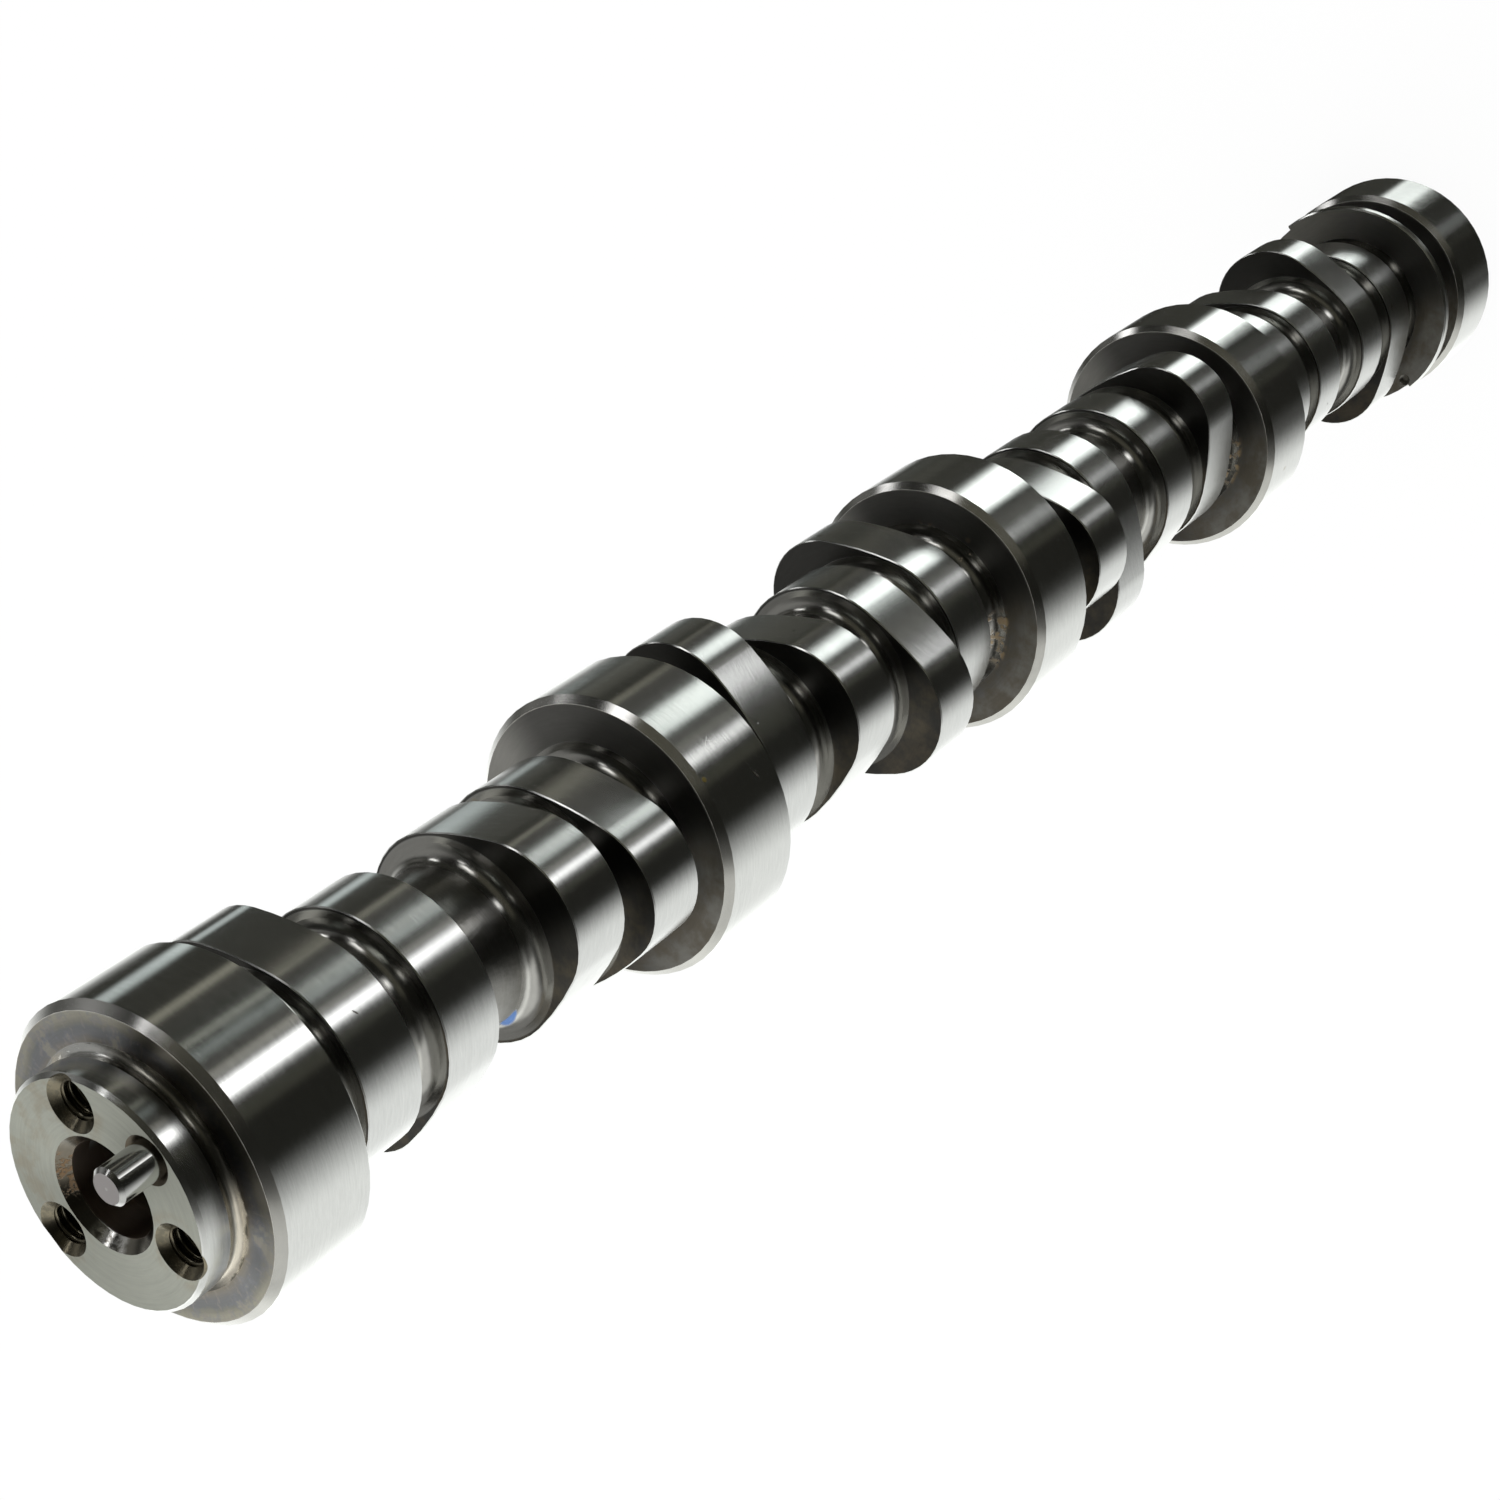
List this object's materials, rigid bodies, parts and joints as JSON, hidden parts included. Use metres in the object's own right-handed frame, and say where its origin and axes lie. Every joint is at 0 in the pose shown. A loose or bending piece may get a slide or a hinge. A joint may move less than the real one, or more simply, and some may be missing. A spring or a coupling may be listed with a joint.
{
  "type": "camshaft",
  "caption": "One-piece steel camshaft of a pushrod V8 engine, with ground journals and cam lobes, a sensor ring and a bolted nose with a dowel pin.",
  "frame": {"origin": "centre of the rear face, on the shaft's axis", "axes": "+Z along the axis from the rear journal to the nose, +X through the centre of the dowel pin"},
  "size_m": [0.055, 0.055, 0.4923],
  "materials": {
    "shaft_steel": "ground and polished journals and lobes, turned grey core, light oil stain and heat tint",
    "pin_steel": "hardened, ground and polished"
  },
  "bodies": {
    "root": {"camshaft": "shaft_steel", "dowel_pin": "pin_steel"}
  },
  "joints": []
}
